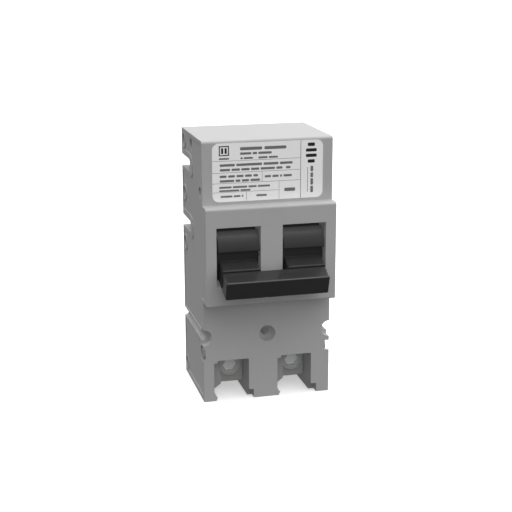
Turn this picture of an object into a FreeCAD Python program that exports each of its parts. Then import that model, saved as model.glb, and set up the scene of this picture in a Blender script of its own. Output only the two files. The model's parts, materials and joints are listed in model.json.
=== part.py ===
import FreeCAD, Part
import Sketcher
import math
import os
from FreeCAD import Vector, Placement, Rotation

# Two-pole moulded-case circuit breaker: two identical pole modules side by side,
# a black toggle per pole joined by a tie bar, plug-on line jaws in the upper rear
# notches and a screw lug per pole in the slots at the foot.
#
# Sub-parts are drawn in casing coordinates: X across the width (0 in the middle),
# Y from the back plane (0) towards the front (negative), Z up from the foot (0).
# Each sub-part's Placement lowers it by hole_height, so that the finished model's
# origin lies on the mounting hole's axis in the back plane.

doc = FreeCAD.newDocument("circuit_breaker")
sheet = doc.addObject("Spreadsheet::Sheet", "dims")

DIMS = [
    # casing envelope
    ("half_width", 38.1), ("pole_offset", 19.05), ("height_all", 154.6),
    ("front_up", 58.4), ("front_mid", 66.8), ("front_low", 56.5),
    ("mid_bottom", 61.3), ("mid_top", 118.1), ("wall", 3.2), ("centre_half", 6.35),
    ("hole_height", 39.45), ("hole_rad", 2.5), ("bore_rad", 4.9), ("bore_depth", 5.2),
    ("groove_rad", 2.6), ("top_round", 1.5),
    # rear notches
    ("notch_a_low", 131.5), ("notch_a_top", 138.8), ("notch_a_deep", 24.5),
    ("notch_b_low", 94.8), ("notch_b_top", 101.6), ("notch_b_deep", 24.0),
    ("notch_round", 3.3),
    # toggle windows
    ("win_out", 32.0), ("win_low", 71.9), ("win_top", 106.8),
    # terminal slots
    ("slot_left", 32.0), ("slot_right", 10.95), ("slot_top", 24.9), ("slot_step", 23.4),
    ("lug_floor", 28.5),
    # toggle
    ("piv_y", 44.8), ("piv_z", 88.8), ("rest_angle", 20.0), ("drum_rad", 22.5),
    ("recess_rad", 19.0), ("cheek_rad", 16.7), ("drum_in", 17.0), ("drum_half", 11.95), ("finger_half", 10.9),
    ("trunnion", 3.0), ("bar_half", 29.9), ("bar_near", 28.5), ("bar_near_low", 30.4), ("bar_far", 38.95),
    ("bar_far_low", 39.6), ("bar_low", 7.3), ("bar_low_rear", 7.65), ("bar_high", 3.75),
    # contact arm and springs
    ("arm_root", 12.0), ("arm_tilt", 8.0), ("arm_reach", 22.0), ("hook_up", 6.0),
    ("spring_len", 29.82), ("spring_tilt", 8.14), ("wire", 0.8), ("coil_mean", 2.2),
    # cradle and trip
    ("cradle_y", 27.5), ("cradle_z", 76.0), ("hook_y", 43.84), ("hook_z", 76.5),
    ("trip_y", 24.5), ("trip_z", 52.0), ("arm_piv_y", 20.2), ("arm_piv_z", 41.0),
    # lug
    ("lug_shift", 1.65), ("lug_half", 8.9), ("lug_front", 42.0), ("lug_back", 15.0),
    ("lug_low", 6.0), ("lug_high", 28.0), ("wire_rad", 6.35), ("wire_y", 26.5),
    ("screw_rad", 6.9), ("screw_z", 18.8), ("screw_front", 48.5), ("screw_len", 13.9),
    ("rivet_rad", 2.2), ("rivet_head", 3.3),
]
for row, (alias, value) in enumerate(DIMS, start=1):
    sheet.set("A%d" % row, alias)
    sheet.set("B%d" % row, repr(float(value)))
    sheet.setAlias("B%d" % row, alias)
doc.recompute()


class Q:
    """A length that knows both its number and the sheet formula it comes from."""

    def __init__(self, value, text):
        self.v = value
        self.t = text

    def __add__(self, other):
        other = num(other)
        return Q(self.v + other.v, "(%s + %s)" % (self.t, other.t))

    def __radd__(self, other):
        return num(other) + self

    def __sub__(self, other):
        other = num(other)
        return Q(self.v - other.v, "(%s - %s)" % (self.t, other.t))

    def __rsub__(self, other):
        return num(other) - self

    def __mul__(self, other):
        other = num(other)
        return Q(self.v * other.v, "(%s * %s)" % (self.t, other.t))

    def __rmul__(self, other):
        return num(other) * self

    def __neg__(self):
        return Q(-self.v, "(0 - %s)" % self.t)


def num(x):
    return x if isinstance(x, Q) else Q(float(x), "%.6f" % float(x))


def D(alias):
    return Q(float(dict(DIMS)[alias]), "dims." + alias)


def sine(a):
    a = num(a)
    return Q(math.sin(math.radians(a.v)), "sin(%s * 1 deg)" % a.t)


def cosine(a):
    a = num(a)
    return Q(math.cos(math.radians(a.v)), "cos(%s * 1 deg)" % a.t)


def bind(obj, prop, value):
    if isinstance(value, Q):
        obj.setExpression(prop, value.t)


NODES = []      # the sub-parts, in export order
CUTS = []       # (feature, its base) pairs whose volume must shrink
PADS = []       # (feature, its base) pairs whose volume must grow


def place(obj, x=0.0, y=0.0, z=0.0, turn=0.0, axis=(1, 0, 0), keep=True):
    """Put a finished sub-part in the model frame: z is a casing height."""
    x, y, z = num(x), num(y), num(z) - D("hole_height")
    t = num(turn)
    obj.Placement = Placement(Vector(x.v, y.v, z.v), Rotation(Vector(*axis), t.v))
    obj.setExpression("Placement.Base.x", x.t)
    obj.setExpression("Placement.Base.y", y.t)
    obj.setExpression("Placement.Base.z", z.t)
    if isinstance(turn, Q):
        obj.setExpression("Placement.Rotation.Angle", "%s * 1 deg" % t.t)
    if keep:
        NODES.append(obj)


def body(name):
    b = doc.addObject("PartDesign::Body", name)
    b.Label = name
    return b


ROLE = {"X": "YZ_Plane", "Y": "XZ_Plane", "Z": "XY_Plane"}


def sketch(b, side, offset, loops):
    """A sketch on one of the body's own origin planes, moved along its normal."""
    sk = b.newObject("Sketcher::SketchObject", b.Name + "_sketch")
    plane = [f for f in b.Origin.OriginFeatures if f.Role == ROLE[side]][0]
    sk.AttachmentSupport = (plane, [""])
    sk.MapMode = "FlatFace"
    offset = num(offset)
    sk.AttachmentOffset = Placement(Vector(0, 0, offset.v), Rotation())
    sk.setExpression("AttachmentOffset.Base.z", offset.t)
    for loop in loops:
        if loop[0] == "c":
            cx, cy, rad = num(loop[1]), num(loop[2]), num(loop[3])
            g = sk.addGeometry(Part.Circle(Vector(cx.v, cy.v, 0), Vector(0, 0, 1), rad.v), False)
            i = sk.addConstraint(Sketcher.Constraint("Radius", g, rad.v))
            sk.setExpression("Constraints[%d]" % i, rad.t)
            put(sk, g, 3, cx, cy)
        else:
            pts = [(num(p[0]), num(p[1])) for p in loop[1]]
            n = len(pts)
            first = sk.GeometryCount
            for i in range(n):
                a, c = pts[i], pts[(i + 1) % n]
                sk.addGeometry(Part.LineSegment(Vector(a[0].v, a[1].v, 0),
                                                Vector(c[0].v, c[1].v, 0)), False)
            for i in range(n):
                sk.addConstraint(Sketcher.Constraint("Coincident", first + i, 2,
                                                     first + (i + 1) % n, 1))
            for i in range(n):
                put(sk, first + i, 1, pts[i][0], pts[i][1])
    return sk


def put(sk, g, pos, x, y):
    for kind, val in (("DistanceX", x), ("DistanceY", y)):
        i = sk.addConstraint(Sketcher.Constraint(kind, -1, 1, g, pos, val.v))
        if "dims" in val.t:
            sk.setExpression("Constraints[%d]" % i, val.t)


def rect(x0, y0, x1, y1):
    return ("p", [(x0, y0), (x1, y0), (x1, y1), (x0, y1)])


def poly(*pts):
    return ("p", list(pts))


def circ(cx, cy, rad):
    return ("c", cx, cy, rad)


def pad(b, side, low, high, *loops):
    """Add material between low and high along the named axis."""
    low, high = num(low), num(high)
    base = b.Tip
    sk = sketch(b, side, -high if side == "Y" else low, loops)
    f = b.newObject("PartDesign::Pad", b.Name + "_pad")
    f.Profile = sk
    length = high - low
    f.Length = length.v
    f.setExpression("Length", length.t)
    PADS.append((f, base))
    return f


def cut(b, side, low, high, *loops):
    """Remove material between low and high along the named axis."""
    low, high = num(low), num(high)
    base = b.Tip
    sk = sketch(b, side, -low if side == "Y" else high, loops)
    f = b.newObject("PartDesign::Pocket", b.Name + "_pocket")
    f.Profile = sk
    length = high - low
    f.Length = length.v
    f.setExpression("Length", length.t)
    CUTS.append((f, base))
    return f


def edges_of(feature, test):
    names = []
    for i, e in enumerate(feature.Shape.Edges, start=1):
        mid = e.valueAt((e.FirstParameter + e.LastParameter) / 2.0)
        p, q = e.Vertexes[0].Point, e.Vertexes[-1].Point
        if test(mid, q.sub(p), e):
            names.append("Edge%d" % i)
    return names


def dress(b, kind, size, test):
    """Fillet or Chamfer on the edges of the tip that pass the test."""
    doc.recompute()
    base = b.Tip
    names = edges_of(base, test)
    if not names:
        raise RuntimeError("no edges for %s on %s" % (kind, b.Name))
    f = b.newObject("PartDesign::" + kind, b.Name + "_" + kind.lower())
    f.Base = (base, names)
    prop = "Radius" if kind == "Fillet" else "Size"
    size = num(size)
    setattr(f, prop, size.v)
    f.setExpression(prop, size.t)
    b.Tip = f
    doc.recompute()
    if not f.Shape.isValid() or f.Shape.Volume <= 0:
        raise RuntimeError("%s failed on %s" % (kind, b.Name))
    return f


def near(a, c, tol=0.05):
    return abs(a - c) < tol


def along_x(d):
    return abs(d.x) > 0.5 and abs(d.y) < 0.01 and abs(d.z) < 0.01


# ---------------------------------------------------------------- casing --
H = D("height_all")
FU, FM, FL = D("front_up"), D("front_mid"), D("front_low")
MB, MT = D("mid_bottom"), D("mid_top")
HZ = D("hole_height")
W = D("half_width")
C = D("centre_half")
T = D("wall")
NA0, NA1, NAD = D("notch_a_low"), D("notch_a_top"), D("notch_a_deep")
NB0, NB1, NBD = D("notch_b_low"), D("notch_b_top"), D("notch_b_deep")

# side profile of the case: stepped front, two notches open to the back
outline = poly((0, 0), (-FL, 0), (-FL, MB), (-FM, MB), (-FM, MT), (-FU, MT), (-FU, H), (0, H),
               (0, NA1), (-NAD, NA1), (-NAD, NA0), (0, NA0),
               (0, NB1), (-NBD, NB1), (-NBD, NB0), (0, NB0))
# hollow for the mechanism, leaving a wall round each notch
IN_LOW = 46.0


def hollow(low):
    return poly((-T, low), (-FL + T, low), (-FL + T, MB + 3.4), (-FM + 3.4, MB + 3.4),
                (-FM + 3.4, MT - 3.4), (-FU + T, MT - 3.4), (-FU + T, H - T), (-T, H - T),
                (-T, NA1 + 3.4), (-NAD - 3.5, NA1 + 3.4), (-NAD - 3.5, NA0 - 3.0), (-T, NA0 - 3.0),
                (-T, NB1 + 3.4), (-NBD - 3.5, NB1 + 3.4), (-NBD - 3.5, NB0 - 3.3), (-T, NB0 - 3.3))


# rivets run the full width; (y, z, recess radius, raised ring radius)
RIVETS = [(-5.5, 147.7, 3.7, 5.2), (-26.0, 147.8, 3.7, 0), (-5.2, 115.8, 3.8, 5.1),
          (-50.0, 124.2, 3.3, 0), (-5.4, 85.0, 3.9, 5.3), (-4.5, 7.0, 3.9, 4.4)]
FRONT_RIVET = (-52.7, 29.2, 4.8)
BOSSED = RIVETS[:5]
PIV = (-D("piv_y"), D("piv_z"))
CRA = (-D("cradle_y"), D("cradle_z"))
TRIP = (-D("trip_y"), D("trip_z"))
ARP = (-D("arm_piv_y"), D("arm_piv_z"))
SL, SR = D("slot_left"), D("slot_right")
ST, SS = D("slot_top"), D("slot_step")


def soften(b):
    """Round the notch ends and the upper front edges."""
    def notch(mid, d, e):
        return along_x(d) and ((near(mid.y, -NAD.v) and (near(mid.z, NA0.v) or near(mid.z, NA1.v)))
                               or (near(mid.y, -NBD.v) and (near(mid.z, NB0.v) or near(mid.z, NB1.v))))
    dress(b, "Fillet", D("notch_round"), notch)
    dress(b, "Fillet", D("top_round"), lambda mid, d, e: along_x(d) and
          ((near(mid.y, -FU.v) and near(mid.z, H.v)) or (near(mid.y, -FM.v) and near(mid.z, MT.v))))


def outer_case(name, s):
    """Outer casing of one pole; s is -1 for the left pole and +1 for the right."""
    b = body(name)

    def X(lo, hi):
        """x range given as distances from the middle on the left side"""
        return (-hi, -lo) if s < 0 else (lo, hi)

    def span(fn, lo, hi, *loops):
        a, c = X(num(lo), num(hi))
        return fn(b, "X", a, c, *loops)

    span(pad, C, W, outline)
    soften(b)
    # raised rim: the outer face between the rims is set back half a millimetre
    rim = 0.5
    panel_up = poly((-1.6, 43.2), (-50.5, 43.2), (-50.5, 47.4), (-53.5, 47.4), (-53.5, 63.3),
                    (-60.0, 63.3), (-60.0, 115.4), (-55.9, 118.1), (-55.9, 152.6), (-1.6, 152.6),
                    (-1.6, 142.2), (-24.5, 142.2), (-28.2, 140.6), (-30.0, 136.4), (-30.0, 131.2),
                    (-28.6, 129.0), (-1.6, 129.0),
                    (-1.6, 105.4), (-23.8, 105.4), (-27.6, 103.8), (-29.4, 99.6), (-29.4, 94.6),
                    (-28.0, 92.3), (-1.6, 92.3))
    panel_low = poly((-1.6, 3.0), (-53.5, 3.0), (-53.5, 22.5), (-46.5, 25.0), (-46.5, 35.6),
                     (-1.6, 35.6))
    span(cut, W - rim, W + 1, panel_up)
    span(cut, W - rim, W + 1, panel_low)
    for y, z, r, ring in RIVETS:
        if ring:
            span(pad, W - rim - 0.1, W, circ(y, z, ring))
    # mechanism hollow, open towards the middle of the breaker
    span(cut, C - 1, W - T, hollow(IN_LOW))
    span(cut, C - 1, 31.5, rect(-48.0, 31.0, -T, IN_LOW + 0.5))
    # rivet bosses, toggle bearing, cradle-pin boss, trip-bar bearing
    for y, z, r, ring in BOSSED:
        span(pad, 32.3, W - T + 0.2, circ(y, z, 4.95))
    span(pad, 31.4, W - T + 0.2, circ(PIV[0], PIV[1], 5.2))
    span(pad, 32.4, W - T + 0.2, circ(CRA[0], CRA[1], 3.6))
    span(pad, 33.4, W - T + 0.2, circ(TRIP[0], TRIP[1], 3.8))
    span(cut, 31.0, 33.7, circ(PIV[0], PIV[1], D("trunnion") + 0.05))
    span(cut, 32.0, 34.2, circ(CRA[0], CRA[1], 1.52))
    span(cut, 33.0, 35.2, circ(TRIP[0], TRIP[1], 2.05))
    span(cut, 31.0, 32.7, circ(ARP[0], ARP[1], 1.25))
    # rivet holes and the recesses that sink their heads
    for y, z, r, ring in RIVETS:
        span(cut, C - 1, W + 1, circ(y, z, D("rivet_rad") + 0.05))
        span(cut, W - 3.0, W + 1, circ(y, z, r))
    span(cut, C - 1, W + 1, circ(FRONT_RIVET[0], FRONT_RIVET[1], D("rivet_rad") + 0.05))
    span(cut, W - (1.15 if s < 0 else 3.0), W + 1, circ(FRONT_RIVET[0], FRONT_RIVET[1], FRONT_RIVET[2]))
    # half-round screw groove down the outer face, with its counterbore at the front
    cut(b, "Y", -FL - 1, 1, circ(s * W, HZ, D("groove_rad")))
    cut(b, "Y", -FL - 1, -FL + D("bore_depth"), circ(s * W, HZ, D("bore_rad")))
    # toggle window
    a, c = X(C - 1, D("win_out"))
    cut(b, "Y", -FM - 1, -FM + 4.4, rect(a, D("win_low"), c, D("win_top")))
    # sloping sill inside the window's foot, level with the lowered finger
    span(pad, C, W - T + 0.1, poly((-66.0, 72.2), (-59.1, 74.7), (-59.1, 69.0), (-63.0, 66.0), (-66.0, 66.0)))
    # terminal slot: mouth, deeper rib line, lug chamber, strap passage
    off = -D("pole_offset") if s < 0 else D("pole_offset")
    lo = -12.95 if s < 0 else -13.7
    L = off + lo
    R = off + 8.1
    if s < 0:
        mouth = poly((L + 1.1, -1), (L + 1.1, 0.2), (L + 2.0, 1.9), (L, 5.7), (L, SS), (L + 2.1, SS),
                     (L + 2.1, ST), (R - 0.8, ST), (R - 0.23, ST - 0.23), (R, ST - 0.8), (R, 5.4),
                     (R + 2.9, 5.4), (R + 2.9, -1))
        low2 = poly((L, -1), (L, 5.0), (L + 5.1, 8.6), (L + 5.1, ST), (R, ST), (R, -1))
    else:
        mouth = poly((L, -1), (L, SS), (off - 10.45, SS), (off - 10.45, ST), (R - 0.8, ST), (R - 0.23, ST - 0.23),
                     (R, ST - 0.8), (R, 5.4),
                     (R + 3.35, 5.4), (R + 3.35, -1))
        low2 = poly((L, -1), (L, 4.6), (off - 12.7, 5.0), (off - 7.85, 8.6), (off - 7.85, ST),
                    (R, ST), (R, -1))
    cut(b, "Y", -FL - 1, -51.0, mouth)
    cut(b, "Y", -51.5, -48.9, low2)
    cut(b, "Y", -49.1, -8.0, rect(L, -1, R, D("lug_floor")))
    cut(b, "Z", D("lug_floor") - 1, 32.0, rect(off - 8.0, -16.2, off + 5.5, -11.5))
    # the line jaw reaches from its notch into the hollow
    cut(b, "Y", -NAD - 5, -NAD + 4.0, rect(off - 8.6, NA0, off + 8.6, NA1))
    cut(b, "Y", -NAD - 5, -NAD - 2.7, rect(off - 8.6, NA0 - 3.5, off + 8.6, NA1 + 1.3))
    place(b)
    return b


def centre_case():
    b = body("centre_casing")
    pad(b, "X", -C, C, outline)
    soften(b)
    for s in (-1, 1):
        def span(fn, lo, hi, *loops):
            lo, hi = num(lo), num(hi)
            if s < 0:
                return fn(b, "X", -hi, -lo, *loops)
            return fn(b, "X", lo, hi, *loops)
        span(cut, 1.6, C + 1, hollow(47.5))
        for (y, z), r in ((PIV, 5.2), (CRA, 3.6)):
            span(pad, 1.5, 6.7 if r > 4 else 5.6, circ(y, z, r))
        span(cut, 4.3, 8.0, circ(PIV[0], PIV[1], D("trunnion") + 0.05))
        span(cut, 4.0, 8.0, circ(CRA[0], CRA[1], 1.52))
        span(cut, 5.4, C + 1, circ(ARP[0], ARP[1], 1.25))
    for y, z, r, ring in RIVETS:
        cut(b, "X", -C - 1, C + 1, circ(y, z, D("rivet_rad") + 0.05))
    cut(b, "X", -C - 1, C + 1, circ(FRONT_RIVET[0], FRONT_RIVET[1], D("rivet_rad") + 0.05))
    cut(b, "X", -C - 1, C + 1, circ(TRIP[0], TRIP[1], 2.05))
    # mounting hole, right through from front to back, with its counterbore
    cut(b, "Y", -FL - 1, 1, circ(0, HZ, D("hole_rad")))
    cut(b, "Y", -FL - 1, -FL + D("bore_depth"), circ(0, HZ, D("bore_rad")))
    # keying nub at the foot of the right-hand slot
    pad(b, "Y", -FL, -44.0, poly((C - 0.3, 0), (7.2, 0), (7.2, 0.2), (8.1, 1.9), (C - 0.3, 5.2)))
    place(b)
    return b


outer_case("left_casing", -1)
centre_case()
outer_case("right_casing", 1)

# printed label let onto the upper front face, across both poles
b = body("label")
pad(b, "Y", -FU - 0.2, -FU, rect(-32.2, 119.9, 32.2, 153.0))
dress(b, "Fillet", 3.7, lambda mid, d, e: abs(d.y) > 0.1 and abs(d.x) < 0.01 and abs(d.z) < 0.01)
place(b)


def x_cylinder(name, x0, x1, y, z, rad, keep=False, owner_x=0.0):
    """Plain cylinder along X as a Part primitive."""
    c = doc.addObject("Part::Cylinder", name)
    c.Label = name
    x0, x1, y, z, rad = num(x0), num(x1), num(y), num(z), num(rad)
    c.Radius = rad.v
    c.setExpression("Radius", rad.t)
    c.Height = (x1 - x0).v
    c.setExpression("Height", (x1 - x0).t)
    c.Placement = Placement(Vector(x0.v, y.v, z.v), Rotation(Vector(0, 1, 0), 90))
    c.setExpression("Placement.Base.x", x0.t)
    c.setExpression("Placement.Base.y", y.t)
    c.setExpression("Placement.Base.z", z.t)
    if keep:
        NODES.append(c)
    return c


def fuse(name, parts):
    f = doc.addObject("Part::MultiFuse", name)
    f.Label = name
    f.Shapes = parts
    return f


def compound(name, parts):
    f = doc.addObject("Part::Compound", name)
    f.Label = name
    f.Links = parts
    return f


# rivets through the whole width, heads sunk in their recesses
group = []
for i, (y, z, r, ring) in enumerate(RIVETS + [FRONT_RIVET + (0,)]):
    front = i == len(RIVETS)
    left = -W + (1.15 if front else 3.0)
    right = W - 3.0
    shank = x_cylinder("rivet_shank_%d" % i, left - 0.5, right + 0.5, y, z, D("rivet_rad"))
    head = D("rivet_head") if not near(r, 3.3) else D("rivet_head") - 0.35
    h1 = x_cylinder("rivet_head_%d" % i, left - 0.9, left - 0.02, y, z, head)
    h2 = x_cylinder("rivet_tail_%d" % i, right + 0.02, right + 0.9, y, z, head)
    group.append(fuse("rivet_%d" % i, [shank, h1, h2]))
place(compound("rivets", group))


# ------------------------------------------------- line side, arc chute --
def pole(name, off):
    P = name + "_"

    # toggle: cam drum with a recess each side of the finger, a tongue for the tie
    # bar and two trunnions; drawn level about its own axis, then turned to rest
    b = body(P + "toggle")
    dh = D("drum_half")
    R1 = D("drum_rad")
    rear = [(0, 0)] + [(60 * math.cos(math.radians(a)), 60 * math.sin(math.radians(a)))
                       for a in (180 - 74, 60, 0, -60, -180 + 74)]
    nose = [(0, 0)] + [(60 * math.cos(math.radians(a)), 60 * math.sin(math.radians(a)))
                       for a in (180 - 29.5, 180, 180 + 29.5, 180 + 52, 180 + 74)]
    pad(b, "X", -dh, dh, circ(0, 0, R1))
    brow = [(0, 0)] + [(60 * math.cos(math.radians(a)), 60 * math.sin(math.radians(a)))
                       for a in (180 - 63, 180 - 75)]
    cut(b, "X", -dh - 1, dh + 1, poly(*nose))
    cut(b, "X", -dh - 1, dh + 1, poly(*brow))
    pad(b, "X", -dh, dh, circ(0, 0, D("recess_rad")))
    cut(b, "X", -dh - 1, dh + 1, poly(*rear))
    pad(b, "X", -dh, dh, circ(0, 0, D("cheek_rad")))
    cut(b, "X", -dh + 2, dh - 2, circ(0, 0, D("drum_in")))
    fh = D("finger_half")
    pad(b, "X", -fh, fh, rect(-28.4, -7.4, -16.5, 4.8))
    pad(b, "X", -7.0, 7.0, rect(-36.0, -4.0, -28.0, 1.5))
    pad(b, "X", -14.3, -dh + 0.3, circ(0, 0, D("trunnion")))
    pad(b, "X", dh - 0.3, 14.3, circ(0, 0, D("trunnion")))
    cut(b, "X", -dh - 1, dh + 1, circ(0, D("arm_root"), 1.22))
    dress(b, "Fillet", 0.9, lambda mid, d, e:
          (along_x(d) and near(mid.y, -28.4) and (near(mid.z, 4.8) or near(mid.z, -7.4)) and near(mid.x, 0, 1))
          or (abs(d.y) > 5 and abs(d.x) < 0.01 and near(abs(mid.x), fh.v) and
              (near(mid.z, 4.8) or near(mid.z, -7.4))))
    dress(b, "Fillet", 0.5, lambda mid, d, e: along_x(d) and near(math.hypot(mid.y, mid.z), R1.v))
    place(b, off, PIV[0], PIV[1], D("rest_angle"))

    # short pins that carry the contact arm between the drum's cheeks
    ny = PIV[0] - D("arm_root") * sine(D("rest_angle"))
    nz = PIV[1] + D("arm_root") * cosine(D("rest_angle"))
    place(compound(P + "arm_pins",
                   [x_cylinder(P + "arm_pin_a", 3.4, 11.7, 0, 0, 1.2),
                    x_cylinder(P + "arm_pin_b", -11.7, -3.4, 0, 0, 1.2)]), off, ny, nz)

    # contact arm: forked foot on the pins, spring bar across the fork
    b = body(P + "contact_arm")
    pad(b, "X", 3.6, 6.5, circ(0, 0, 2.3))
    pad(b, "X", 3.6, 6.5, rect(-1, 0, 1, 11))
    pad(b, "X", -6.5, 6.5, rect(-1, 10, 1, 25))
    pad(b, "X", -6.5, -3.6, rect(-1, 1, 1, 11))
    pad(b, "X", -6.5, -3.6, circ(0, 0, 2.3))
    pad(b, "X", -4.0, 4.0, circ(0, D("hook_up"), 0.8))
    cut(b, "X", -8, 8, circ(0, 0, 1.25))
    dress(b, "Chamfer", 2.5, lambda mid, d, e: near(mid.z, 25) and near(abs(mid.x), 6.5) and abs(d.y) > 1)
    place(b, off, ny, nz, -D("arm_tilt"))

    # silver contact on the arm's rear face
    b = body(P + "moving_contact")
    pad(b, "Y", 1.0, 2.6, circ(0, D("arm_reach"), 3.0))
    dress(b, "Chamfer", 0.3, lambda mid, d, e: near(mid.y, 2.6))
    place(b, off, ny, nz, -D("arm_tilt"))

    # tension spring from the arm's cross bar to the cradle's pin
    wire, mean, length = D("wire").v, D("coil_mean").v, D("spring_len").v
    top, bottom = -4.2, -length + 5.2
    turns = 12.0
    helix = Part.makeHelix((top - bottom) / turns, top - bottom, mean)
    profile = Part.Wire(Part.makeCircle(wire / 2, Vector(mean, 0, 0), Vector(0, 1, 0)))
    coil = Part.Wire(helix).makePipeShell([profile], True, True)
    coil.translate(Vector(0, 0, bottom))
    def wire_run(*pts):
        """Round wire along straight runs, with a ball at each corner."""
        out = None
        for i in range(len(pts) - 1):
            p, q = Vector(*pts[i]), Vector(*pts[i + 1])
            for o in (Part.makeCylinder(wire / 2, p.distanceToPoint(q), p, q - p),
                      Part.makeSphere(wire / 2, q) if i < len(pts) - 2 else None):
                if o is not None:
                    out = o if out is None else out.fuse(o)
        return out

    # each end of the coil runs in to the axis and on to its loop
    loop_z = -length + 0.8
    upper = wire_run((mean, 0.01, top), (mean, 0.9, top), (0, 0, top), (0, 0, -1.8)).fuse(
        Part.makeTorus(1.9, wire / 2, Vector(0, 0, 0), Vector(1, 0, 0)))
    lower = wire_run((mean, -0.01, bottom), (mean, -0.9, bottom), (0, 0, bottom), (0, 0, loop_z + 2.7)).fuse(
        Part.makeTorus(2.8, wire / 2, Vector(0, 0, loop_z), Vector(1, 0, 0)))
    spring = doc.addObject("Part::Feature", P + "main_spring")
    spring.Label = P + "main_spring"
    spring.Shape = Part.makeCompound([coil, upper, lower])
    hy = ny + D("hook_up") * sine(D("arm_tilt"))
    hz = nz + D("hook_up") * cosine(D("arm_tilt"))
    place(spring, off, hy, hz, D("spring_tilt"))

    # cradle: the spring pulls its front end up, its nose rests over the armature
    b = body(P + "cradle")
    cy, cz = CRA
    hky, hkz = -D("hook_y"), D("hook_z")
    pad(b, "X", 3.0, 5.2, circ(cy, cz, 3.2))
    pad(b, "X", 3.0, 5.2, poly((hky - 2.0, hkz - 1.6), (cy, cz - 2.6), (-21.4, 73.4), (-21.4, 74.9),
                               (cy, cz + 2.6), (hky - 2.0, hkz + 1.6)))
    pad(b, "X", -1.4, 3.2, circ(hky, hkz, 0.8))
    cut(b, "X", 2, 6, circ(cy, cz, 1.55))
    place(b, off)
    place(x_cylinder(P + "cradle_pin", -13.9, 13.9, 0, 0, 1.5), 0, 0, 0, keep=False)
    pin = doc.getObject(P + "cradle_pin")
    pin.setExpression("Placement.Base.x", None)
    pin.Placement = Placement(Vector(off.v - 13.9, cy.v, cz.v - HZ.v), Rotation(Vector(0, 1, 0), 90))
    pin.setExpression("Placement.Base.x", (off - 13.9).t)
    pin.setExpression("Placement.Base.y", cy.t)
    pin.setExpression("Placement.Base.z", (cz - HZ).t)
    NODES.append(pin)

    # armature: flat plate on a rolled foot whose ends sit in the case walls
    b = body(P + "armature")
    ay, az = ARP
    pad(b, "X", -9.0, 9.0, rect(ay - 0.8, az, ay + 0.7, 72.6))
    pad(b, "X", -9.0, 9.0, circ(ay, az, 1.7))
    pad(b, "X", -13.2, 13.2, circ(ay, az, 1.2))
    dress(b, "Chamfer", 3.0, lambda mid, d, e: near(mid.z, 72.6) and near(abs(mid.x), 9.0) and abs(d.y) > 1)
    place(b, off)

    # U-shaped magnet yoke round the bimetal
    b = body(P + "magnet_yoke")
    pad(b, "Z", 47.0, 61.0, poly((-8.6, -18.2), (-8.6, -12.0), (8.6, -12.0), (8.6, -18.2), (7.0, -18.2),
                                 (7.0, -13.6), (-7.0, -13.6), (-7.0, -18.2)))
    place(b, off)

    # bimetal strip, fixed to the load strap at its foot
    b = body(P + "bimetal")
    pad(b, "Y", -16.2, -15.0, rect(-5.0, 33.0, 5.0, 66.0))
    cut(b, "Y", -17.0, -14.0, rect(-1.2, 44.0, 1.2, 60.0))
    place(b, off)

    # load strap from behind the lug up to the bimetal
    b = body(P + "load_strap")
    pad(b, "Y", -14.9, -12.9, rect(-6.5, 7.0, 4.5, 43.5))
    cut(b, "Y", -16.0, -12.0, circ(-1.0, 38.5, 1.55))
    place(b, off)

    # calibration screw through the strap
    b = body(P + "calibration_screw")
    pad(b, "Y", -14.7, -8.0, circ(-1.0, 38.5, 1.5))
    pad(b, "Y", -8.2, -6.0, circ(-1.0, 38.5, 2.8))
    cut(b, "Y", -6.8, -5.0, rect(-4.2, 38.1, 2.2, 38.9))
    place(b, off)

    # box lug: wire enters from below, the screw bears on it from the front
    b = body(P + "lug")
    sh = -D("lug_shift")
    lh = D("lug_half")
    pad(b, "Y", -D("lug_front"), -D("lug_back"), rect(sh - lh, D("lug_low"), sh + lh, D("lug_high")))
    cut(b, "Z", 0, D("lug_high") + 1, circ(sh, -D("wire_y"), D("wire_rad")))
    cut(b, "Y", -D("lug_front") - 1, -D("wire_y"), circ(sh, D("screw_z"), D("screw_rad") + 0.07))
    dress(b, "Chamfer", 0.6, lambda mid, d, e: near(mid.y, -D("lug_front").v) and
          near(mid.z, D("lug_low").v) and along_x(d))
    place(b, off)

    # socket-head lug screw, backed out so that the bore is clear
    b = body(P + "lug_screw")
    f0 = -D("screw_front")
    sz = D("screw_z")
    pad(b, "Y", f0, f0 + D("screw_len"), circ(sh, sz, D("screw_rad")))
    hexagon = [(sh + 4.3 * math.cos(math.radians(a)), sz + 4.3 * math.sin(math.radians(a)))
               for a in range(0, 360, 60)]
    cut(b, "Y", f0 - 1, f0 + 3.2, poly(*hexagon))
    dress(b, "Chamfer", 0.8, lambda mid, d, e: near(mid.y, f0.v) and
          near(math.hypot(mid.x - sh.v, mid.z - sz.v), D("screw_rad").v, 14) and e.Curve.TypeId == "Part::GeomCircle")
    place(b, off)

    # pressure pad that the screw pushes against the wire
    b = body(P + "pressure_pad")
    tip = f0 + D("screw_len")
    pad(b, "Y", tip + 0.1, tip + 1.7, circ(sh, sz, 5.6))
    dress(b, "Chamfer", 0.5, lambda mid, d, e: near(mid.y, (tip + 1.7).v))
    place(b, off)

    # line jaw: two sprung leaves in the upper rear notch
    b = body(P + "line_jaw")
    pad(b, "X", -7.5, 7.5, poly(
        (-27.4, 131.9), (-12.0, 132.1), (-6.5, 132.9), (-2.2, 131.75), (-1.9, 132.6), (-6.4, 134.2),
        (-12.5, 133.4), (-25.8, 133.2), (-25.8, 137.1), (-12.5, 136.9), (-6.4, 136.1), (-1.9, 137.7),
        (-2.2, 138.55), (-6.5, 137.4), (-12.0, 138.2), (-27.4, 138.4)))
    place(b, off)

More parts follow.
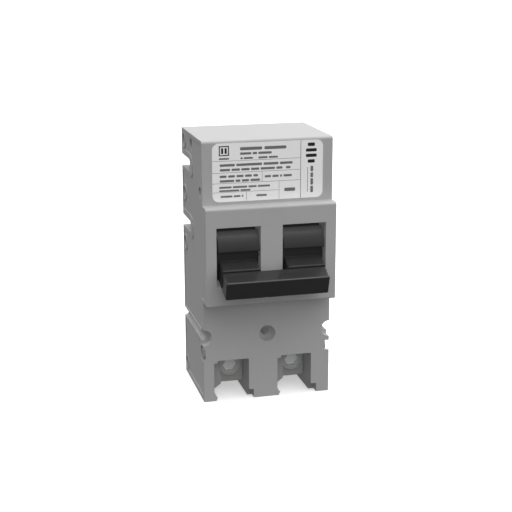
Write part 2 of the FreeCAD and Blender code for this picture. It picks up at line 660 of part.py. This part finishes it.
    # line strap from the jaw down to the fixed contact
    b = body(P + "line_strap")
    pad(b, "X", -6.5, 6.5, poly((-29.5, 139.5), (-27.5, 139.5), (-27.5, 126.3), (-31.8, 126.3),
                                (-31.8, 113.0), (-33.8, 113.0), (-33.8, 128.3), (-29.5, 128.3)))
    place(b, off)

    b = body(P + "fixed_contact")
    pad(b, "Y", -35.7, -33.8, circ(0, 121.7, 3.3))
    dress(b, "Chamfer", 0.3, lambda mid, d, e: near(mid.y, -35.7))
    place(b, off)

    # arc chute: notched steel plates between two fibre walls
    plates = []
    for i in range(6):
        q = body(P + "arc_plate_%d" % i)
        y = -38.4 - 2.6 * i
        pad(q, "Y", y - 1.2, y, poly((-11.8, 128.0), (-5.5, 128.0), (-1.2, 136.0), (1.2, 136.0),
                                     (5.5, 128.0), (11.8, 128.0), (11.8, 147.5), (-11.8, 147.5)))
        plates.append(q)
    place(compound(P + "arc_plates", plates), off)
    walls = []
    for i, s in enumerate((-1, 1)):
        q = body(P + "arc_wall_%d" % i)
        a, c = sorted((s * 11.95, s * 13.2))
        pad(q, "X", a, c, rect(-54.2, 127.4, -36.6, 148.6))
        walls.append(q)
    place(compound(P + "arc_chute_walls", walls), off)

    # flexible copper braid from the bimetal's free end to the contact arm
    route = [Vector(-4.1, -13.9, 62.5), Vector(-4.6, -13.9, 80.0), Vector(-7.9, -29.5, 85.0),
             Vector(-8.0, -31.5, 98.0), Vector(-8.0, -35.5, 108.0), Vector(-8.0, -41.0, 113.5)]
    rad = [5.0, 6.0, 9.0, 6.0]
    edges = []
    start = route[0]
    for i in range(1, len(route) - 1):
        p, a, c = route[i], route[i - 1], route[i + 1]
        u, v = (a - p).normalize(), (c - p).normalize()
        half = u.getAngle(v) / 2
        t = rad[i - 1] / math.tan(half)
        p1, p2 = p + u * t, p + v * t
        bis = (u + v).normalize()
        m = p + bis * (rad[i - 1] / math.sin(half) - rad[i - 1])
        edges.append(Part.LineSegment(start, p1).toShape())
        edges.append(Part.Arc(p1, m, p2).toShape())
        start = p2
    edges.append(Part.LineSegment(start, route[-1]).toShape())
    spine = Part.Wire(edges)
    section = Part.Wire(Part.makeCircle(0.85, route[0], route[1] - route[0]))
    tube = spine.makePipeShell([section], True, True)
    braid = doc.addObject("Part::Feature", P + "braid")
    braid.Label = P + "braid"
    braid.Shape = tube
    place(braid, off)


pole("left", -D("pole_offset"))
pole("right", D("pole_offset"))

# tie bar over both toggle fingers, turned with them
b = body("tie_bar")
BH = D("bar_half")
pad(b, "X", -BH, BH, poly((-D("bar_far"), D("bar_high")), (-D("bar_near"), D("bar_high")),
                          (-D("bar_near_low"), -D("bar_low_rear")), (-D("bar_far_low"), -D("bar_low"))))
for off in (-D("pole_offset"), D("pole_offset")):
    cut(b, "X", off - 7.15, off + 7.15, rect(-36.2, -4.1, -28.0, 1.6))
dress(b, "Fillet", 0.9, lambda mid, d, e: (near(abs(mid.x), BH.v) and mid.y < -30.0) or
      (along_x(d) and abs(d.x) > 50 and mid.y < -30.6))
dress(b, "Fillet", 0.35, lambda mid, d, e: along_x(d) and abs(d.x) > 50 and near(mid.y, -28.5, 0.2))
place(b, 0, PIV[0], PIV[1], D("rest_angle"))

# common trip bar through both poles, with a paddle by each armature
b = body("trip_bar")
ty, tz = TRIP
pad(b, "X", -34.6, 34.6, circ(ty, tz, 2.0))
for off in (-D("pole_offset"), D("pole_offset")):
    pad(b, "X", off - 3.0, off + 3.0, rect(ty - 0.6, tz, ty + 1.6, tz + 9.0))
place(b)

# ------------------------------------------------------------------ write --
doc.recompute()
bad = [o.Name for o in doc.Objects if "Invalid" in o.State or "Error" in o.State]
if bad:
    raise RuntimeError("features that did not compute: " + ", ".join(bad))
for f, base in CUTS:
    if base is not None and not f.Shape.Volume < base.Shape.Volume - 1e-4:
        raise RuntimeError("cut that removed nothing: " + f.Name)
for f, base in PADS:
    if base is not None and not f.Shape.Volume > base.Shape.Volume + 1e-4:
        raise RuntimeError("pad that added nothing: " + f.Name)
for o in NODES:
    if o.Shape.isNull() or not o.Shape.isValid() or not o.Shape.Solids:
        raise RuntimeError("bad sub-part: " + o.Label)
os.makedirs("parts", exist_ok=True)
for o in NODES:
    o.Shape.exportStep(os.path.join("parts", o.Label + ".step"))
    print("%-26s %d solids %10.1f mm3" % (o.Label, len(o.Shape.Solids), o.Shape.Volume))
print(len(NODES), "sub-parts")
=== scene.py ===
import json
import math
import bpy
import bmesh
from mathutils import Matrix, Vector


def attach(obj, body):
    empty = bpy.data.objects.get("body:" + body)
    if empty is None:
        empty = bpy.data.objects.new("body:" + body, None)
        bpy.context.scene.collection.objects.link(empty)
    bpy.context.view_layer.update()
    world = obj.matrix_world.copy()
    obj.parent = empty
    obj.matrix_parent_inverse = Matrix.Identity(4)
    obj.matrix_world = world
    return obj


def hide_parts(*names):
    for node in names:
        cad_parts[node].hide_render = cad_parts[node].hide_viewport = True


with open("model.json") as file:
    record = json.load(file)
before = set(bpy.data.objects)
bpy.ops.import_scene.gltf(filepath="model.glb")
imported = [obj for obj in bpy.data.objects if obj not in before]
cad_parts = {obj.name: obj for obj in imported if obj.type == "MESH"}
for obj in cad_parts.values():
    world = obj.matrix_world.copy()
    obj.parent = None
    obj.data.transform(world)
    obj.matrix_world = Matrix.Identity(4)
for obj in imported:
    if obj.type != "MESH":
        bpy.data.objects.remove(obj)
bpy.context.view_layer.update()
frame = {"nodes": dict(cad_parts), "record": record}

HZ = 0.03945                      # foot to mounting-hole axis: casing heights are lowered by it
MM = 0.001


def P(x, y, z):
    """Casing coordinates in mm (z from the foot) to the frame, in metres."""
    return Vector((x * MM, y * MM, z * MM - HZ))


# ------------------------------------------------------------------ nodes --
class Tree:
    """Small helper to write a shader tree in a few lines."""

    def __init__(self, name):
        self.mat = bpy.data.materials.new(name)
        self.mat.use_nodes = True
        self.nt = self.mat.node_tree
        self.nt.nodes.clear()
        self.out = self.nt.nodes.new("ShaderNodeOutputMaterial")
        self.bsdf = self.nt.nodes.new("ShaderNodeBsdfPrincipled")
        self.nt.links.new(self.bsdf.outputs[0], self.out.inputs[0])
        tc = self.nt.nodes.new("ShaderNodeTexCoord")
        self.obj = tc.outputs["Object"]

    def new(self, kind, **props):
        n = self.nt.nodes.new(kind)
        for k, v in props.items():
            if hasattr(n, k):
                setattr(n, k, v)
            else:
                n.inputs[k].default_value = v
        return n

    def link(self, a, b):
        self.nt.links.new(a, b)

    def noise(self, scale, detail=3.0, rough=0.55, vec=None):
        n = self.nt.nodes.new("ShaderNodeTexNoise")
        n.inputs["Scale"].default_value = scale
        n.inputs["Detail"].default_value = detail
        n.inputs["Roughness"].default_value = rough
        self.link(vec or self.obj, n.inputs["Vector"])
        return n.outputs["Fac"]

    def stretch(self, x, y, z, turn=(0, 0, 0)):
        m = self.nt.nodes.new("ShaderNodeMapping")
        m.inputs["Scale"].default_value = (x, y, z)
        m.inputs["Rotation"].default_value = turn
        self.link(self.obj, m.inputs["Vector"])
        return m.outputs[0]

    def voronoi(self, scale, feature="F1", vec=None):
        n = self.nt.nodes.new("ShaderNodeTexVoronoi")
        n.feature = feature
        n.inputs["Scale"].default_value = scale
        self.link(vec or self.obj, n.inputs["Vector"])
        return n.outputs["Distance"]

    def ramp(self, fac, stops):
        r = self.nt.nodes.new("ShaderNodeValToRGB")
        r.color_ramp.elements[0].position = stops[0][0]
        r.color_ramp.elements[0].color = stops[0][1] + (1,) if len(stops[0][1]) == 3 else stops[0][1]
        r.color_ramp.elements[1].position = stops[-1][0]
        r.color_ramp.elements[1].color = stops[-1][1] + (1,)
        for p, c in stops[1:-1]:
            e = r.color_ramp.elements.new(p)
            e.color = c + (1,)
        self.link(fac, r.inputs[0])
        return r.outputs[0]

    def remap(self, fac, lo, hi):
        m = self.nt.nodes.new("ShaderNodeMapRange")
        m.inputs["To Min"].default_value = lo
        m.inputs["To Max"].default_value = hi
        self.link(fac, m.inputs["Value"])
        return m.outputs[0]

    def math(self, op, a, b):
        m = self.nt.nodes.new("ShaderNodeMath")
        m.operation = op
        for i, v in enumerate((a, b)):
            if isinstance(v, (int, float)):
                m.inputs[i].default_value = v
            else:
                self.link(v, m.inputs[i])
        return m.outputs[0]

    def mix(self, fac, a, b, blend="MIX"):
        m = self.nt.nodes.new("ShaderNodeMix")
        m.data_type = "RGBA"
        m.blend_type = blend
        for sock, v in ((m.inputs[0], fac), (m.inputs[6], a), (m.inputs[7], b)):
            if isinstance(v, (int, float)):
                sock.default_value = v
            elif isinstance(v, tuple):
                sock.default_value = v + (1,) if len(v) == 3 else v
            else:
                self.link(v, sock)
        return m.outputs[2]

    def bump(self, height, strength, distance, normal=None):
        b = self.nt.nodes.new("ShaderNodeBump")
        b.inputs["Strength"].default_value = strength
        b.inputs["Distance"].default_value = distance
        self.link(height, b.inputs["Height"])
        if normal is not None:
            self.link(normal, b.inputs["Normal"])
        return b.outputs[0]

    def edge(self, radius):
        b = self.nt.nodes.new("ShaderNodeBevel")
        b.samples = 6
        if isinstance(radius, float):
            b.inputs["Radius"].default_value = radius
        else:
            self.link(radius, b.inputs["Radius"])
        return b.outputs[0]

    def axes(self):
        s = self.nt.nodes.new("ShaderNodeSeparateXYZ")
        self.link(self.obj, s.inputs[0])
        return s.outputs

    def set(self, **kw):
        for k, v in kw.items():
            s = self.bsdf.inputs[k.replace("_", " ")]
            if isinstance(v, (int, float)):
                s.default_value = v
            elif isinstance(v, tuple):
                s.default_value = v + (1,) if len(v) == 3 and len(s.default_value) == 4 else v
            else:
                self.link(v, s)
        return self


def grey(v):
    return (v, v, v)


def make_case():
    t = Tree("moulded_case")
    fine = t.noise(2600.0, 2.0, 0.6)
    soft = t.noise(60.0, 3.0, 0.5)
    flow = t.noise(14.0, 2.0, 0.5, t.stretch(1.0, 1.0, 0.35))
    base = t.ramp(soft, [(0.25, grey(0.432)), (0.75, grey(0.458))])
    base = t.mix(0.5, base, t.ramp(flow, [(0.3, grey(0.436)), (0.7, grey(0.455))]))
    speck = t.voronoi(1500.0)
    base = t.mix(t.ramp(speck, [(0.05, grey(0.22)), (0.22, grey(0.0))]), base, grey(0.40))
    # the mould leaves a softer edge under the nose than elsewhere
    x, y, z = t.axes()
    under = t.math("MULTIPLY", t.math("LESS_THAN", t.math("ABSOLUTE", t.math("SUBTRACT", z, 0.02185), 0.0), 0.0016),
                   t.math("LESS_THAN", y, -0.060))
    # painted shade: the case colour is darkened inside the terminal mouths to stand in for the shade that falls there
    painted_mouth_shade = t.math("MULTIPLY", t.math("MULTIPLY", t.math("GREATER_THAN", y, -0.0555), t.math("LESS_THAN", y, -0.006)),
                    t.math("MULTIPLY", t.math("LESS_THAN", z, -0.0141), t.math("LESS_THAN", t.math("ABSOLUTE", x, 0.0), 0.0335)))
    base = t.mix(t.math("MULTIPLY", painted_mouth_shade, t.remap(soft, 0.85, 1.0)), base, grey(0.315))
    n = t.bump(fine, 0.10, 0.00004, t.edge(t.math("ADD", t.math("MULTIPLY", under, 0.0008), 0.0002)))
    t.set(Base_Color=base, Roughness=t.remap(soft, 0.50, 0.60), Normal=n)
    t.bsdf.inputs["Specular IOR Level"].default_value = 0.32
    return t.mat


def make_black(name, painted_light_top, coat, rough_lo, rough_hi, coat_rough=0.06):
    """Moulded black; painted_light_top is the paler shade painted on the drum above the finger, painted light standing
    in for light from above.
    """
    t = Tree(name)
    swirl = t.noise(34.0, 4.0, 0.6)
    fine = t.noise(1500.0, 2.0, 0.5)
    scratch = t.noise(160.0, 6.0, 0.7, t.stretch(0.08, 1.0, 1.0))
    base = t.ramp(swirl, [(0.3, grey(0.0145)), (0.7, grey(0.017))])
    if painted_light_top:
        height = t.new("ShaderNodeSeparateXYZ")
        t.link(t.obj, height.inputs[0])
        # painted light: the drum's upper band is painted paler, as if lit from above
        rise = t.math("MULTIPLY", t.math("SUBTRACT", height.outputs[2], 0.0605), 380.0)
        # only on the proud band of the drum, not in the recess behind it
        dy = t.math("ADD", height.outputs[1], 0.0448)
        dz = t.math("SUBTRACT", height.outputs[2], 0.04935)
        proud = t.math("GREATER_THAN", t.math("ADD", t.math("MULTIPLY", dy, dy), t.math("MULTIPLY", dz, dz)), 0.00042)
        painted_light_fac = t.math("MULTIPLY", t.math("MULTIPLY", t.remap(rise, 0.0, 1.0), proud), t.remap(swirl, 0.9, 1.0))
        base = t.mix(painted_light_fac, base, grey(painted_light_top))
    rough = t.math("ADD", t.remap(swirl, rough_lo, rough_hi), t.math("MULTIPLY", scratch, 0.06))
    n = t.bump(fine, 0.05, 0.00003, t.edge(0.0005))
    t.set(Base_Color=base, Roughness=rough, Normal=n)
    t.bsdf.inputs["Specular IOR Level"].default_value = 0.3
    t.bsdf.inputs["Coat Weight"].default_value = coat
    t.bsdf.inputs["Coat Roughness"].default_value = coat_rough
    t.bsdf.inputs["Coat IOR"].default_value = 1.42
    return t.mat


def make_metal(name, a, b, rough, grain=(1.0, 1.0, 1.0), metallic=1.0, bump=0.12, edge=0.0002):
    """Metal with a directional machining grain and cloudy tarnish."""
    t = Tree(name)
    lines = t.noise(900.0, 4.0, 0.65, t.stretch(*grain))
    cloud = t.noise(130.0, 4.0, 0.6)
    base = t.mix(t.remap(cloud, 0.1, 0.9), a, b)
    base = t.mix(t.remap(lines, 0.0, 0.25), base, tuple(c * 0.72 for c in a))
    n = t.bump(lines, bump, 0.00005, t.edge(edge))
    t.set(Base_Color=base, Roughness=t.math("ADD", t.remap(cloud, rough - 0.05, rough + 0.07),
                                            t.math("MULTIPLY", lines, 0.08)), Normal=n)
    t.bsdf.inputs["Metallic"].default_value = metallic
    return t.mat


def make_screw():
    """Plated screw whose socket is painted bright: painted light standing in for light inside the socket."""
    t = Tree("plated_screw")
    lines = t.noise(900.0, 4.0, 0.65, t.stretch(1.0, 0.2, 1.0))
    cloud = t.noise(130.0, 4.0, 0.6)
    base = t.mix(t.remap(cloud, 0.1, 0.9), (0.42, 0.435, 0.42), (0.49, 0.505, 0.49))
    base = t.mix(t.remap(lines, 0.0, 0.25), base, (0.30, 0.31, 0.30))
    x, y, z = t.axes()
    # painted light: the socket beyond y -45.45 mm is painted pale to stand in for light in the hollow
    base = t.mix(t.math("GREATER_THAN", y, -0.04545), base, t.mix(cloud, (0.80, 0.82, 0.80), (0.86, 0.88, 0.86)))
    t.set(Base_Color=base, Roughness=t.math("ADD", t.remap(cloud, 0.40, 0.52), t.math("MULTIPLY", lines, 0.08)),
          Normal=t.bump(lines, 0.12, 0.00005, t.edge(0.0002)))
    t.bsdf.inputs["Metallic"].default_value = 0.3
    return t.mat


def make_film(name, a, b, rough):
    t = Tree(name)
    cloud = t.noise(90.0, 3.0, 0.5)
    fine = t.noise(3000.0, 2.0, 0.5)
    t.set(Base_Color=t.mix(cloud, a, b), Roughness=t.remap(fine, rough - 0.04, rough + 0.04),
          Normal=t.bump(fine, 0.05, 0.00002))
    t.bsdf.inputs["Specular IOR Level"].default_value = 0.3
    return t.mat


CASE = make_case()
BLACK = make_black("satin_black", 0.070, 0.16, 0.50, 0.58, 0.22)
BAR = make_black("glossy_black", 0.0, 0.8, 0.42, 0.50)
LABEL = make_film("label_film", grey(0.955), grey(0.975), 0.38)
INK = make_film("label_ink", grey(0.012), grey(0.02), 0.6)
INKMID = make_film("label_ink_grey", grey(0.16), grey(0.20), 0.6)
LUG = make_metal("plated_lug", (0.52, 0.535, 0.52), (0.58, 0.595, 0.58), 0.50, (1.0, 0.12, 1.0), metallic=0.35)
SCREW = make_screw()
RIVET = make_metal("zinc_rivet", (0.36, 0.36, 0.365), (0.43, 0.43, 0.435), 0.48, metallic=0.3)
STEEL = make_metal("plated_steel", (0.42, 0.42, 0.43), (0.52, 0.52, 0.53), 0.36, (0.15, 1.0, 1.0))
COPPER = make_metal("copper_strip", (0.62, 0.30, 0.17), (0.72, 0.38, 0.23), 0.34, (0.2, 1.0, 1.0))
SILVER = make_metal("contact_silver", (0.66, 0.65, 0.62), (0.74, 0.73, 0.70), 0.38)
BRASS = make_metal("machined_brass", (0.62, 0.46, 0.20), (0.70, 0.54, 0.26), 0.32)
BIMETAL = make_metal("bimetal_strip", (0.44, 0.40, 0.34), (0.52, 0.48, 0.42), 0.40, (1.0, 1.0, 0.12))
FIBRE = make_film("red_fibre", (0.24, 0.07, 0.035), (0.30, 0.10, 0.05), 0.6)
PHENOLIC = make_film("phenolic", (0.10, 0.035, 0.02), (0.14, 0.05, 0.03), 0.45)

BY_SLOT = {"case": CASE, "toggle_black": BLACK, "label": LABEL, "rivet": RIVET, "steel": STEEL,
           "spring_steel": STEEL, "arc_steel": STEEL, "copper": COPPER, "silver": SILVER,
           "bimetal": BIMETAL, "brass": BRASS, "lug_metal": LUG, "fibre": FIBRE,
           "trip_plastic": PHENOLIC}
for sub in frame["record"]["subparts"]:
    o = frame["nodes"][sub["node"]]
    m = BY_SLOT[sub["material_slot"]]
    if sub["node"].endswith("lug_screw"):
        m = SCREW
    if sub["node"] == "tie_bar":
        m = BAR
    o.data.materials.clear()
    o.data.materials.append(m)


def mesh_piece(name, verts, faces, mat, body, smooth=False):
    me = bpy.data.meshes.new(name)
    me.from_pydata([tuple(v) for v in verts], [], faces)
    me.validate()
    o = bpy.data.objects.new(name, me)
    bpy.context.collection.objects.link(o)
    me.materials.append(mat)
    if smooth:
        for p in me.polygons:
            p.use_smooth = True
    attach(o, body)
    return o


# ------------------------------------------------------- printed label --
FACE = -58.6                      # front of the label film


class Print:
    """Flat printed shapes, each a very thin raised plate on the label."""

    def __init__(self):
        self.v, self.f = [], []

    def prism(self, pts, y0=FACE + 0.01, y1=FACE - 0.02):
        n, k = len(pts), len(self.v)
        self.v += [P(x, y0, z) for x, z in pts] + [P(x, y1, z) for x, z in pts]
        self.f.append(tuple(k + n + i for i in range(n)))
        self.f.append(tuple(k + i for i in reversed(range(n))))
        for i in range(n):
            j = (i + 1) % n
            self.f.append((k + i, k + j, k + n + j, k + n + i))

    def bar(self, x0, z0, x1, z1):
        self.prism([(x0, z0), (x1, z0), (x1, z1), (x0, z1)])

    def pill(self, x0, z0, x1, z1, r, steps=5):
        r = min(r, (x1 - x0) / 2, (z1 - z0) / 2)
        pts = []
        for cx, cz, a in ((x1 - r, z1 - r, 0), (x0 + r, z1 - r, 90), (x0 + r, z0 + r, 180), (x1 - r, z0 + r, 270)):
            for i in range(steps + 1):
                t = math.radians(a + 90.0 * i / steps)
                pts.append((cx + r * math.cos(t), cz + r * math.sin(t)))
        self.prism(pts)

    def frame(self, x0, z0, x1, z1, w):
        self.bar(x0, z0, x1, z0 + w)
        self.bar(x0, z1 - w, x1, z1)
        self.bar(x0, z0 + w, x0 + w, z1 - w)
        self.bar(x1 - w, z0 + w, x1, z1 - w)

    def words(self, x0, x1, z, h, lengths, gap):
        """A line of print as plain rounded strokes, one for each word."""
        total = sum(lengths)
        room = (x1 - x0) - gap * (len(lengths) - 1)
        x = x0
        for n in lengths:
            w = room * n / total
            self.pill(x, z, x + w, z + h, h * 0.35)
            x += w + gap

    def make(self, name, mat):
        return mesh_piece(name, self.v, self.f, mat, "case")


rules = Print()
w = 0.20
for z, x1 in ((143.1, 19.1), (136.5, 19.1), (130.5, 19.1), (125.4, 6.4)):
    rules.bar(-32.1, z - w / 2, x1, z + w / 2)
rules.bar(19.1 - w * 0.8, 119.95, 19.1 + w * 0.8, 152.95)
rules.bar(-3.5 - w / 2, 130.5, -3.5 + w / 2, 136.5)
rules.bar(6.4 - w / 2, 119.95, 6.4 + w / 2, 130.5)
rules.bar(-12.6 - w / 2, 119.95, -12.6 + w / 2, 125.4)
rules.make("label_rules", INKMID)

text = Print()
text.words(-16.2, 10.6, 148.8, 1.75, [7, 7], 1.3)
text.words(-16.2, 2.1, 146.3, 1.3, [5, 2, 6], 0.7)
text.words(-16.0, -8.8, 143.8, 1.1, [1, 4], 0.6)
text.words(-5.6, 5.7, 143.8, 1.1, [4, 4], 0.7)
text.words(-27.9, 14.3, 140.0, 1.4, [7, 12, 7, 6], 0.8)
text.words(-27.9, 8.4, 137.4, 1.3, [5, 4, 4, 4, 7, 3], 0.8)
text.words(10.4, 13.1, 137.4, 1.3, [2], 0.5)
text.words(-28.0, -5.9, 133.7, 1.3, [3, 3, 3, 3, 2], 0.9)
text.words(-2.0, 13.9, 132.8, 1.3, [3, 3, 1, 4], 0.8)
text.words(-28.0, -4.7, 131.1, 1.3, [6, 2, 3, 4], 0.8)
text.words(-28.3, 1.1, 127.6, 1.1, [6, 7, 4, 6], 0.7)
text.words(-28.3, -10.3, 125.75, 1.0, [10, 5], 0.7)
text.words(-27.6, -14.4, 122.4, 1.1, [7, 4, 1], 0.7)
text.words(-6.9, -0.8, 122.2, 1.2, [6], 0.5)
text.pill(9.5, 124.3, 15.9, 126.3, 0.5)
text.words(-28.3, -22.6, 143.9, 1.0, [6], 0.5)
for z0, z1 in ((122.9, 126.7), (127.3, 131.0), (131.6, 134.4), (135.0, 138.2)):
    text.pill(24.9, z0, 26.5, z1, 0.5)
text.bar(23.1, 123.4, 23.4, 137.6)
text.make("label_print_lines", INKMID)

marks = Print()
# plain framed square with two blocks where the round mark sat
marks.frame(-28.3, 146.0, -22.5, 151.6, 0.6)
marks.pill(-27.0, 147.2, -25.8, 150.4, 0.3)
marks.pill(-25.0, 147.2, -23.8, 150.4, 0.3)
# plain stack of bars in the right-hand column
for z0, z1, half in ((149.5, 151.5, 2.1), (146.4, 148.2, 3.2), (143.3, 145.1, 3.2), (140.0, 141.9, 2.1)):
    marks.pill(25.3 - half, z0, 25.3 + half, z1, 0.6)
marks.make("label_blocks", INK)


# ---------------------------------------------------------- lug screws --
def socket_screw(name, node, cx, body):
    """Round headless screw with a chamfered rim and a hexagon socket, front at y -48.5."""
    cz, rad, y0, y1, floor_y = 18.8, 6.9, -48.5, -34.6, -45.3
    n = 96
    verts, faces = [], []

    def ring(r, y):
        k = len(verts)
        for i in range(n):
            t = 2 * math.pi * i / n
            verts.append(P(cx + r * math.cos(t), y, cz + r * math.sin(t)))
        return k

    def hexring(y, r):
        """Hexagon with n points so that it joins the round rings one to one."""
        k = len(verts)
        for i in range(n):
            t = 2 * math.pi * i / n
            side = (t % (math.pi / 3)) - math.pi / 6
            q = r * math.cos(math.pi / 6) / math.cos(side)
            verts.append(P(cx + q * math.cos(t), y, cz + q * math.sin(t)))
        return k

    loops = [hexring(floor_y, 4.3), hexring(y0 + 0.25, 4.3), hexring(y0, 4.55), ring(rad - 0.75, y0),
             ring(rad - 0.35, y0 + 0.15), ring(rad - 0.06, y0 + 0.55), ring(rad - 0.01, y0 + 0.85)]
    # thread: shallow V turns along the shank
    y = y0 + 1.3
    while y < y1 - 1.4:
        loops += [ring(rad - 0.02, y), ring(rad - 0.42, y + 0.38), ring(rad - 0.02, y + 0.75)]
        y += 0.9
    loops += [ring(rad - 0.02, y1 - 0.8), ring(rad - 0.7, y1)]
    for a, b in zip(loops, loops[1:]):
        for i in range(n):
            j = (i + 1) % n
            faces.append((a + i, a + j, b + j, b + i))
    faces.append(tuple(loops[-1] + i for i in range(n)))
    faces.append(tuple(loops[0] + i for i in reversed(range(n))))
    o = mesh_piece(name, verts, faces, SCREW, body)
    bm = bmesh.new()
    bm.from_mesh(o.data)
    bmesh.ops.recalc_face_normals(bm, faces=bm.faces)
    bm.to_mesh(o.data)
    bm.free()
    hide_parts(node)


socket_screw("left_socket_screw", "left_lug_screw", -20.7, "left_clamp_screw")
socket_screw("right_socket_screw", "right_lug_screw", 17.4, "right_clamp_screw")

# -------------------------------------------------------------- stage --
floor_me = bpy.data.meshes.new("floor")
s = 14.0
floor_me.from_pydata([(-s, -s, -HZ), (s, -s, -HZ), (s, s, -HZ), (-s, s, -HZ)], [], [(0, 1, 2, 3)])
floor = bpy.data.objects.new("floor", floor_me)
bpy.context.collection.objects.link(floor)
ft = Tree("pale_floor")
ft.set(Base_Color=ft.mix(ft.noise(3.0), grey(0.90), grey(0.92)), Roughness=0.9)
ft.bsdf.inputs["Specular IOR Level"].default_value = 0.0
ft.bsdf.inputs["Emission Color"].default_value = (1.0, 1.0, 1.0, 1.0)
ft.bsdf.inputs["Emission Strength"].default_value = 0.35      # lit-from-below product table
floor_me.materials.append(ft.mat)
floor.visible_diffuse = False
floor.visible_glossy = False

# sky dome: bright round one direction, dim elsewhere, with three broad fills that
# reach into the recesses as light does in a white studio
SKY_BASE, SKY_LOBE = 0.209, 2.425
FILLS = [("fill_front", (-0.24, -0.94, 0.26), 0.06), ("fill_high", (0.25, -0.55, 0.80), 0.29),
         ("key_high", (0.25, -0.55, 0.80), 0.11),
         ("fill_left", (-1.0, -0.25, 0.2), 0.45)]
world = bpy.data.worlds.new("studio")
bpy.context.scene.world = world
world.use_nodes = True
nt = world.node_tree
nt.nodes.clear()
wo = nt.nodes.new("ShaderNodeOutputWorld")
bg = nt.nodes.new("ShaderNodeBackground")
tc = nt.nodes.new("ShaderNodeTexCoord")
dot = nt.nodes.new("ShaderNodeVectorMath")
dot.operation = "DOT_PRODUCT"
n0 = Vector((0.385, 0.105, 0.917)).normalized()
dot.inputs[1].default_value = n0
mx = nt.nodes.new("ShaderNodeMath")
mx.operation = "MAXIMUM"
mx.inputs[1].default_value = 0.0
mu = nt.nodes.new("ShaderNodeMath")
mu.operation = "MULTIPLY_ADD"
mu.inputs[1].default_value = SKY_LOBE
mu.inputs[2].default_value = SKY_BASE
nt.links.new(tc.outputs["Generated"], dot.inputs[0])
nt.links.new(dot.outputs["Value"], mx.inputs[0])
nt.links.new(mx.outputs[0], mu.inputs[0])
nt.links.new(mu.outputs[0], bg.inputs["Strength"])
nt.links.new(bg.outputs[0], wo.inputs[0])


for name, to_light, strength in FILLS:
    d = bpy.data.lights.new(name, "SUN")
    d.energy = strength
    d.angle = math.radians(30.0)
    d.use_shadow = name == "key_high"
    o = bpy.data.objects.new(name, d)
    o.rotation_euler = Vector(to_light).normalized().to_track_quat("Z", "Y").to_euler()
    bpy.context.collection.objects.link(o)

# high lights that reach only the black mouldings, as the studio's top box does
for name, to_light, strength, nodes in (
        ("gloss_toggles", (0.05, -0.60, 0.80), 0.50, ("left_toggle", "right_toggle")),
        ("gloss_bar", (-0.30, -0.62, 0.72), 0.55, ("tie_bar",))):
    d = bpy.data.lights.new(name, "SUN")
    d.energy = strength
    d.angle = math.radians(34.0)
    d.use_shadow = False
    o = bpy.data.objects.new(name, d)
    o.rotation_euler = Vector(to_light).normalized().to_track_quat("Z", "Y").to_euler()
    bpy.context.collection.objects.link(o)
    group = bpy.data.collections.new("lit_by_" + name)
    for node in nodes:
        group.objects.link(frame["nodes"][node])
    o.light_linking.receiver_collection = group

# ------------------------------------------------------------- camera --
cam_d = bpy.data.cameras.new("camera")
cam_d.sensor_width = 36.0
cam_d.sensor_fit = "HORIZONTAL"
cam_d.lens = 78.7376
cam_d.clip_start = 0.05
cam_d.clip_end = 60.0
cam = bpy.data.objects.new("camera", cam_d)
bpy.context.collection.objects.link(cam)
right = Vector((0.968574, -0.248713, -0.002328))
up = Vector((0.065968, 0.247855, 0.966549))
back = right.cross(up).normalized()
up = back.cross(right).normalized()
rot = Matrix((right, up, back)).transposed().to_4x4()
cam.matrix_world = Matrix.Translation(Vector((-0.160903, -0.658838, 0.251804 - HZ))) @ rot
bpy.context.scene.camera = cam
bpy.context.scene.view_settings.view_transform = "Standard"
